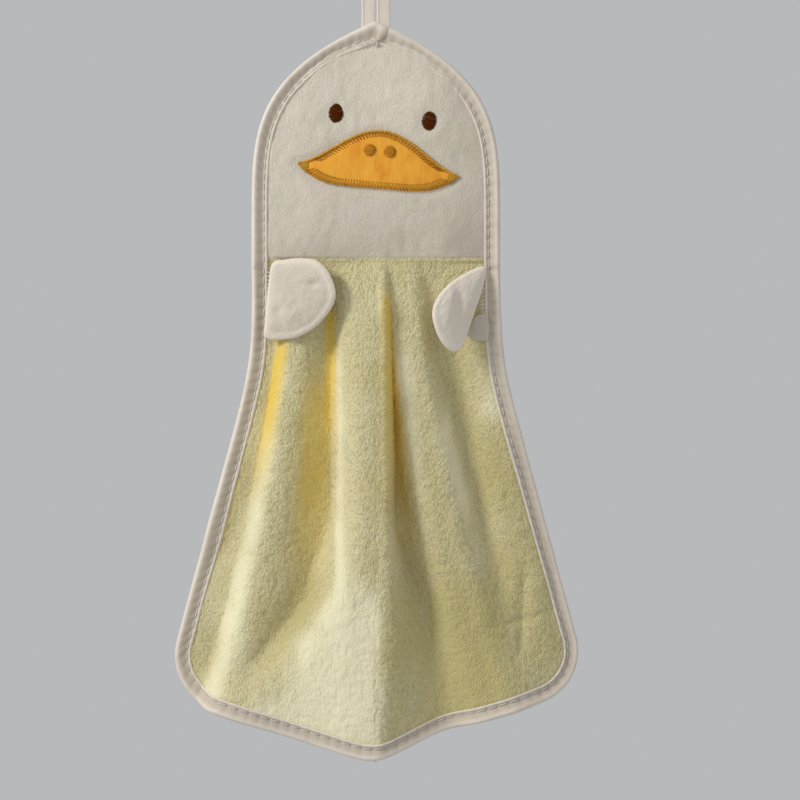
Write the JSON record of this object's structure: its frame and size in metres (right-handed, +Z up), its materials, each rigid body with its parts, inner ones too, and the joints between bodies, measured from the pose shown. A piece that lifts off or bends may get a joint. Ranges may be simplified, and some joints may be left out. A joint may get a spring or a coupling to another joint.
{
  "type": "hanging hand towel",
  "caption": "Hanging baby hand towel with a duck's face: bound plush head, applique beak, pleated fleece skirt, small side wings and a tape loop for a hook.",
  "frame": {"origin": "top of the inside of the loop, where it bears on a hook", "axes": "+Z up, -Y out of the face towards the viewer, +X to the viewer's right"},
  "size_m": [0.231, 0.0358, 0.4824],
  "materials": {
    "cream_tape": "plain-woven cotton tape",
    "cream_thread": "sewing thread",
    "white_plush": "short-pile coral plush",
    "yellow_fleece": "coral fleece pile",
    "orange_felt": "short-nap felt",
    "orange_thread": "satin stitching",
    "gold_thread": "satin stitching",
    "brown_thread": "satin stitching"
  },
  "bodies": {
    "loop": {"hanging_loop": "cream_tape"},
    "head": {"loop_bar_tack": "cream_thread", "head_front_panel": "white_plush", "head_back_panel": "white_plush", "head_binding_left": "cream_tape", "head_binding_right": "cream_tape", "head_binding_stitching": "cream_thread", "beak_patch": "orange_felt", "beak_edge_stitching": "orange_thread", "nostril_left": "gold_thread", "nostril_right": "gold_thread", "eye_left": "brown_thread", "eye_right": "brown_thread"},
    "skirt": {"seam_overlock": "cream_thread", "skirt_panel": "yellow_fleece", "skirt_binding": "cream_tape", "skirt_binding_stitching": "cream_thread", "wing_left_root_stitching": "cream_thread", "wing_right_root_stitching": "cream_thread"},
    "wing_left": {"wing_left_front": "white_plush", "wing_left_back": "white_plush"},
    "wing_right": {"wing_right_front": "white_plush", "wing_right_back": "white_plush"}
  },
  "joints": [
    {"name": "head_swing", "type": "hinge", "parent": "loop", "child": "head", "pos_m": [0, 0, -0.07], "axis": [-1, 0, 0], "range_deg": [-45, 60]},
    {"name": "skirt_fold", "type": "hinge", "parent": "head", "child": "skirt", "pos_m": [0, 0, -0.207], "axis": [-1, 0, 0], "range_deg": [-45, 60]},
    {"name": "wing_left_flap", "type": "hinge", "parent": "skirt", "child": "wing_left", "pos_m": [-0.0605, -0.0027, -0.2115], "axis": [0, 0, -1], "range_deg": [-5, 110], "stiffness_Nm_per_rad": 0.0003},
    {"name": "wing_right_flap", "type": "hinge", "parent": "skirt", "child": "wing_right", "pos_m": [0.0605, -0.0027, -0.2115], "axis": [0, 0, 1], "range_deg": [-5, 100], "stiffness_Nm_per_rad": 0.0003}
  ]
}
